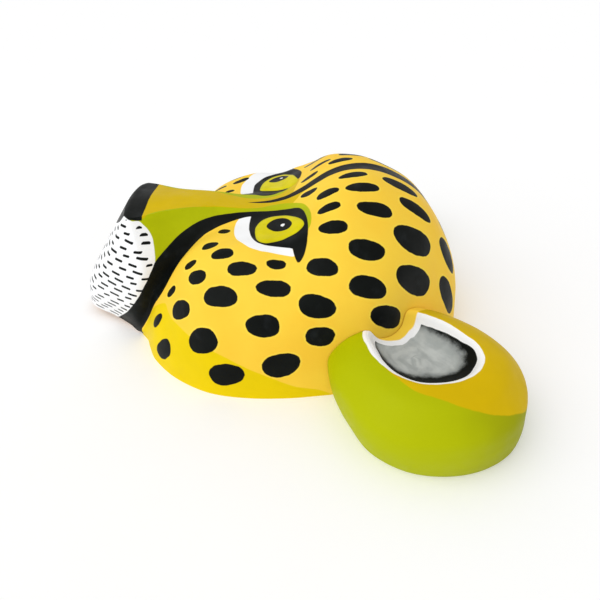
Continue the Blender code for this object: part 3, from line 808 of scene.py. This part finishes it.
class Recipe:
    """A material in the making: each call adds a node and gives back its output."""

    def __init__(self, name):
        self.material = bpy.data.materials.new(name)
        self.material.use_nodes = True
        self.tree = self.material.node_tree
        self.shader = self.tree.nodes["Principled BSDF"]
        self.place = self.add("TexCoord", output="Object")

    def put(self, socket, value):
        if isinstance(value, bpy.types.NodeSocket):
            self.tree.links.new(value, socket)
        else:
            socket.default_value = value

    def add(self, kind, inputs=(), output=0, **settings):
        node = self.tree.nodes.new("ShaderNode" + kind)
        for name, value in settings.items():
            setattr(node, name, value)
        for name, value in dict(inputs).items():
            self.put(node.inputs[name], value)
        return node.outputs[output]

    def math(self, operation, first, second=0.0):
        return self.add("Math", {0: first, 1: second}, operation=operation)

    def plus(self, first, second):
        return self.math("ADD", first, second)

    def minus(self, first, second):
        return self.math("SUBTRACT", first, second)

    def times(self, first, second):
        return self.math("MULTIPLY", first, second)

    def read(self, name):
        return self.add("Attribute", output="Fac", attribute_name=name)

    def mix(self, share, first, second, how="MIX"):
        return self.add("Mix", {0: share, 6: first, 7: second}, output=2, data_type="RGBA",
                        blend_type=how)

    def noise(self, size, detail=3, stretch=(1, 1, 1), rough=0.5):
        """Cloudy variation from 0 to 1, its lumps about size millimetres across."""
        place = self.add("Mapping", {"Vector": self.place, "Scale": stretch})
        return self.add("TexNoise", {"Vector": place, "Scale": 1 / (size * MM),
                                     "Detail": detail, "Roughness": rough})

    def remap(self, value, low, high, to_low=0.0, to_high=1.0, how="SMOOTHSTEP"):
        return self.add("MapRange", {"Value": value, 1: low, 2: high, 3: to_low, 4: to_high},
                        interpolation_type=how)

    def painted(self, distance, wobble, soft=0.22):
        """1 inside a painted shape, with an edge as unsteady as a hand's."""
        return self.remap(self.plus(distance, wobble), -soft, soft, 1, 0)

    def layer(self, below, above, shape, wobble=0, soft=0.22):
        """One colour laid over another inside the painted shape of that name."""
        return self.mix(self.painted(self.read(shape), wobble, soft), below, above)

    def finish(self, base, roughness, height=None, depth=0.1, **sockets):
        """Sets the shader, with bumps depth millimetres deep where height is given."""
        self.put(self.shader.inputs["Base Color"], base)
        self.put(self.shader.inputs["Roughness"], roughness)
        if height is not None:
            bump = self.add("Bump", {"Height": height, "Distance": depth * MM, "Strength": 1.0},
                            output="Normal")
            self.put(self.shader.inputs["Normal"], bump)
        for name, value in sockets.items():
            self.put(self.shader.inputs[name.replace("_", " ")], value)
        return self.material


def brush_marks(paint):
    """Fine streaks that the brush left, and slow swells of the sanded wood below."""
    streaks = paint.noise(1.6, 4, (0.16, 1, 1))
    crossing = paint.noise(2.2, 3, (1, 0.2, 1))
    swells = paint.noise(14, 2)
    both = paint.plus(paint.times(streaks, 0.6), paint.times(crossing, 0.4))
    return paint.plus(both, paint.times(swells, 2.5))


def tinted(paint, shade, strength, size=24):
    """A colour with a slow drift of lightness, as thin and thick paint dries."""
    drift = paint.noise(size, 4, rough=0.6)
    lighter = [min(level * (1 + strength), 1) for level in shade[:3]] + [1]
    darker = [level * (1 - strength) for level in shade[:3]] + [1]
    return paint.mix(paint.remap(drift, 0.3, 0.7), darker, lighter)


COAT = colour(255, 213, 68)
COAT_DEEP = colour(253, 204, 60)
COAT_RIM = colour(255, 226, 80)
JOWL_YELLOW = colour(236, 206, 0)
OCHRE = colour(216, 184, 0)
GREEN = colour(180, 188, 0)
EAR_OCHRE = colour(214, 180, 0)
EAR_GREEN = colour(180, 188, 0)
# The ears' green as painted shade, on the end of each ear towards the crown.
EAR_GREEN_SHADED = colour(150, 153, 0)
GREY_LIGHT = colour(196, 200, 197)
GREY_DARK = colour(164, 169, 167)
# A darker grey for painted shade on the dish's walls.
GREY_PAINTED_SHADE = colour(104, 110, 110)
BLACK = colour(13, 16, 14)
# A blue-grey for painted sheen on the black paint.
BLACK_PAINTED_SHEEN = colour(36, 40, 42)
WHITE = colour(250, 251, 252)
IRIS_YELLOW = colour(222, 208, 0)

DASH_SPACING = 12.0             # from one dash to the next in a row, and from row to row
DASH_ROWS = 3.9
DASH_HALF_WIDTH = 0.74
EAR_SHADE_START = 0.085             # the ears' green darkens into painted shade between these places along the mask
EAR_SHADE_END = 0.145
SHEEN = 0.07                    # how shiny the paint is


def dashes(paint):
    """Short brushed strokes in staggered rows round the muzzle, 1 on a stroke."""
    around = paint.read("around")
    height = paint.read("height")
    rows = paint.math("DIVIDE", height, DASH_ROWS)
    row = paint.math("FLOOR", rows)
    row_seed = paint.add("CombineXYZ", {0: row, 1: 3.7})
    row_chance = paint.add("TexWhiteNoise", {"Vector": row_seed})
    shift = paint.plus(paint.times(row, 0.5), paint.times(row_chance, 0.3))
    columns = paint.plus(paint.math("DIVIDE", around, DASH_SPACING), shift)
    column = paint.math("FLOOR", columns)
    seed = paint.add("CombineXYZ", {0: row, 1: column})
    chance = paint.add("TexWhiteNoise", {"Vector": seed}, output="Color")
    chance = paint.add("SeparateXYZ", {0: chance}, output=0)
    tint = paint.add("TexWhiteNoise", {"Vector": paint.add("CombineXYZ", {0: column, 1: row})})
    along = paint.times(paint.minus(paint.math("FRACT", columns), 0.5), DASH_SPACING)
    off_row = paint.times(paint.minus(paint.math("FRACT", rows), 0.5), DASH_ROWS)
    off_row = paint.plus(off_row, paint.times(paint.minus(tint, 0.5), 0.9))
    lean = paint.times(paint.minus(chance, 0.3), 0.16)
    off_row = paint.plus(off_row, paint.times(along, lean))
    half = paint.plus(paint.times(chance, 1.4), 1.8)
    past = paint.math("MAXIMUM", paint.minus(paint.math("ABSOLUTE", along), half), 0)
    gap = paint.math("SQRT", paint.plus(paint.times(past, past), paint.times(off_row, off_row)))
    from_edge = paint.remap(paint.read("muzzle"), -2.2, -0.7, 0.0, 1.4)
    return paint.painted(paint.plus(gap, from_edge), -DASH_HALF_WIDTH, 0.16)


def head_paint():
    """The head's paint, from the yellow coat up to the glints in the eyes."""
    paint = Recipe("head_paint_fine")
    unsteady = paint.times(paint.minus(paint.noise(5, 3), 0.5), 1.1)
    steady = paint.times(unsteady, 0.45)
    spots = paint.read("spots")
    coat = paint.mix(paint.remap(paint.noise(45, 3), 0.35, 0.7), COAT, COAT_DEEP)
    coat = paint.mix(paint.remap(spots, 0.2, 1.5, 0.55, 0), coat, COAT_RIM)
    shown = paint.layer(coat, tinted(paint, JOWL_YELLOW, 0.03), "jowl", steady, 0.5)
    shown = paint.layer(shown, tinted(paint, OCHRE, 0.04), "top", steady, 0.4)
    shown = paint.layer(shown, tinted(paint, GREEN, 0.05), "side", steady, 0.4)
    shown = paint.layer(shown, WHITE, "eye_white", steady)
    shown = paint.layer(shown, paint.mix(dashes(paint), WHITE, BLACK), "muzzle", steady)
    # Painted sheen: cloudy blue-grey patches on the black stand in for its satin shine.
    sheen_patches = paint.remap(paint.noise(9, 5, (0.5, 1, 1)), 0.52, 0.8, 0, 0.55)
    black = paint.mix(sheen_patches, tinted(paint, BLACK, 0.25, 12), BLACK_PAINTED_SHEEN)
    dark = paint.math("MAXIMUM", paint.painted(paint.read("band"), steady),
                      paint.painted(spots, unsteady))
    shown = paint.mix(dark, shown, black)
    rim = paint.remap(paint.read("iris"), -1.8, -0.2, 0, 0.3)
    iris = paint.mix(rim, tinted(paint, IRIS_YELLOW, 0.05, 8), GREEN)
    shown = paint.layer(shown, iris, "iris", steady)
    shown = paint.layer(shown, black, "pupil", steady)
    shown = paint.layer(shown, WHITE, "glint")
    roughness = paint.plus(paint.remap(paint.noise(7, 4), 0.2, 0.8, 0.40, 0.54),
                           paint.times(dark, -0.08))
    height = paint.plus(brush_marks(paint), paint.times(dark, 0.8))
    return paint.finish(shown, roughness, height, 0.07, Specular_IOR_Level=SHEEN)


def ear_paint():
    """The ear's paint: green and ochre outside, a white lip, a grey dish darkened to black round
    its walls, partly black paint and partly painted shade.
    """
    paint = Recipe("ear_paint_fine")
    unsteady = paint.minus(paint.noise(6, 3), 0.5)
    ahead = paint.add("SeparateXYZ", {0: paint.place}, output=1)
    # Painted shade: the green darkens towards the crown end of each ear, as if lit from the chin
    # side.
    far_end_shade = paint.remap(paint.plus(ahead, paint.times(paint.noise(30, 3), 0.03)),
                        EAR_SHADE_START, EAR_SHADE_END, 0.05, 0.95)
    green = paint.mix(far_end_shade, EAR_GREEN, EAR_GREEN_SHADED)
    shown = paint.layer(tinted(paint, EAR_OCHRE, 0.03), green, "green", unsteady, 0.5)
    shown = paint.layer(shown, WHITE, "lip", unsteady)
    circling = paint.add("CombineXYZ", {0: paint.read("inward"),
                                        1: paint.times(paint.read("round"), 0.14)})
    swirl = paint.add("TexNoise", {"Vector": circling, "Scale": 0.16, "Detail": 3,
                                   "Roughness": 0.5})
    swirl = paint.plus(swirl, paint.times(paint.noise(5, 4), 0.5))
    grey = paint.mix(paint.remap(swirl, 0.5, 1.0), GREY_DARK, GREY_LIGHT)
    # Painted shade: the grey darkens into the black round the dish's walls; that black is partly
    # black paint and partly painted shade.
    shade = paint.remap(paint.read("black"), -1, 6, 0.6, 0)
    grey = paint.mix(shade, grey, GREY_PAINTED_SHADE)
    smear = paint.times(paint.minus(paint.noise(4, 5, rough=0.65), 0.5), 7)
    black = paint.remap(paint.plus(paint.read("black"), smear), -2.5, 2.5, 1, 0)
    grey = paint.mix(black, grey, BLACK)
    past_line = paint.minus(1, paint.painted(paint.read("head_line"), unsteady))
    dish = paint.times(paint.painted(paint.read("dish"), unsteady), past_line)
    shown = paint.mix(dish, shown, grey)
    shown = paint.layer(shown, COAT, "coat", 0, 0.3)
    roughness = paint.remap(paint.noise(7, 4), 0.2, 0.8, 0.46, 0.6)
    return paint.finish(shown, roughness, brush_marks(paint), 0.07, Specular_IOR_Level=SHEEN)


def bare_wood(name, light, dark, roughness=0.72):
    """Plain carved wood with long grain along the mask, rings and pores."""
    wood = Recipe(name)
    grain = wood.noise(2.6, 6, (1, 0.07, 1), 0.65)
    bend = wood.noise(30, 2)
    rings = wood.add("TexWave", {"Vector": wood.add("Mapping", {"Vector": wood.place,
                                                                "Scale": (1, 0.12, 1)}),
                                 "Scale": 60.0, "Distortion": 6.0, "Detail": 3.0,
                                 "Detail Scale": 1.2}, output="Fac")
    share = wood.plus(wood.times(grain, 0.6), wood.times(rings, 0.3))
    share = wood.plus(share, wood.times(bend, 0.25))
    shown = wood.mix(wood.remap(share, 0.3, 0.85), light, dark)
    pores = wood.remap(wood.noise(0.7, 2, (1, 0.1, 1)), 0.62, 0.72, 0, 0.5)
    shown = wood.mix(pores, shown, [level * 0.5 for level in dark[:3]] + [1])
    rough = wood.remap(grain, 0.2, 0.8, roughness - 0.08, roughness + 0.08)
    height = wood.minus(grain, wood.times(pores, 0.8))
    return wood.finish(shown, rough, height, 0.12, Specular_IOR_Level=0.3)


def hanger_steel():
    """Brushed steel with a few dull smudges, for the strap, its ring and the screws."""
    steel = Recipe("hanger_steel_fine")
    brushed = steel.noise(0.4, 4, (1, 1, 0.06))
    smudge = steel.noise(4, 3)
    shown = steel.mix(brushed, colour(150, 148, 142), colour(205, 203, 198))
    shown = steel.mix(steel.remap(smudge, 0.55, 0.8, 0, 0.5), shown, colour(112, 104, 92))
    rough = steel.remap(steel.plus(brushed, smudge), 0.6, 1.4, 0.24, 0.5)
    return steel.finish(shown, rough, brushed, 0.015, Metallic=1.0)


# ---- build

WOOD_LIGHT = colour(222, 188, 140)
WOOD_DARK = colour(176, 132, 84)


def build_head(wood):
    fields = head_paint_fields()
    head = add_piece("mask_head", build_head_mesh(fields), (head_paint(), wood))
    cut(head, head_cutters())
    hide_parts("face_shell")
    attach(head, "mask")
    return head


def build_ears():
    finish = ear_paint()
    plain_points, plain_faces = coarse_head(0)
    head_tree = BVHTree.FromPolygons([Vector(point) for point in plain_points], plain_faces)
    for name, side, node in (("mask_ear_left", 1, "ear_left"), ("mask_ear_right", -1, "ear_right")):
        ear = add_piece(name, build_ear_mesh(name, side), (finish,))
        points, faces = coarse_head(EAR_GAP)
        envelope = add_piece("envelope", mesh_of("envelope", points, faces))
        cut(ear, [envelope, *peg_cutters(side)])
        ear.data.shade_smooth()
        ear.data.set_sharp_from_angle(angle=math.radians(38))
        paint_ear(ear, side, head_tree)
        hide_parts(node)
        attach(ear, "mask")


def dress_frame():
    """Gives the CAD nodes that stay in view their finer materials."""
    finishes = {"ear_peg": bare_wood("peg_wood_fine", colour(205, 165, 112), colour(160, 116, 70)),
                "hanger": hanger_steel()}
    for name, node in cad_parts.items():
        for start, finish in finishes.items():
            if name.startswith(start):
                for slot in node.material_slots:
                    slot.material = finish


SKY_STRENGTH = 0.68
WINDOW_STRENGTH = 1.25
WINDOW_WIDTH = math.radians(70)
WINDOW_SIDE = (0.5, -0.9, 1)


def build_stage():
    """A plain pale floor, pale light all round, and one wide soft lamp."""
    shape = bmesh.new()
    bmesh.ops.create_grid(shape, x_segments=1, y_segments=1, size=4)
    mesh = finished_mesh("floor", shape)
    floor = Recipe("floor_paper")
    shade = floor.mix(floor.noise(60, 2), (0.94, 0.94, 0.94, 1), (0.96, 0.96, 0.96, 1))
    add_piece("floor", mesh, (floor.finish(
        shade, 0.9, Specular_IOR_Level=0.1, Emission_Color=(1, 1, 1, 1), Emission_Strength=0.1),))
    world = bpy.data.worlds.new("studio")
    world.use_nodes = True
    world.node_tree.nodes["Background"].inputs["Color"].default_value = (1, 1, 1, 1)
    world.node_tree.nodes["Background"].inputs["Strength"].default_value = SKY_STRENGTH
    bpy.context.scene.world = world
    lamp = bpy.data.lights.new("window", "SUN")
    lamp.energy = WINDOW_STRENGTH
    lamp.angle = WINDOW_WIDTH
    made = bpy.data.objects.new("window", lamp)
    made.rotation_euler = (-Vector(WINDOW_SIDE)).to_track_quat("-Z", "Y").to_euler()
    bpy.context.scene.collection.objects.link(made)


CAMERA_RISE = math.radians(35)
CAMERA_TURN = math.radians(87.85)
CAMERA_DISTANCE = 0.350
CAMERA_SIDESTEP = 0.016
CAMERA_LENS = 28.8


def build_camera():
    """The view from the mask's own left side and above, with no tilt."""
    back = Vector((math.sin(CAMERA_TURN) * math.cos(CAMERA_RISE),
                   -math.cos(CAMERA_TURN) * math.cos(CAMERA_RISE), math.sin(CAMERA_RISE)))
    right = (-back).cross(Vector((0, 0, 1))).normalized()
    upward = right.cross(-back)
    camera = bpy.data.objects.new("camera", bpy.data.cameras.new("camera"))
    camera.data.lens = CAMERA_LENS
    camera.data.sensor_width = 36
    camera.data.clip_start = 0.01
    turn = Matrix((right, upward, back)).transposed().to_4x4()
    place = back * CAMERA_DISTANCE + right * CAMERA_SIDESTEP
    camera.matrix_world = Matrix.Translation(place) @ turn
    bpy.context.scene.collection.objects.link(camera)
    bpy.context.scene.camera = camera
    bpy.context.scene.view_settings.view_transform = "Standard"


build_camera()
build_stage()
build_head(bare_wood("hollow_wood", WOOD_LIGHT, WOOD_DARK))
build_ears()
dress_frame()
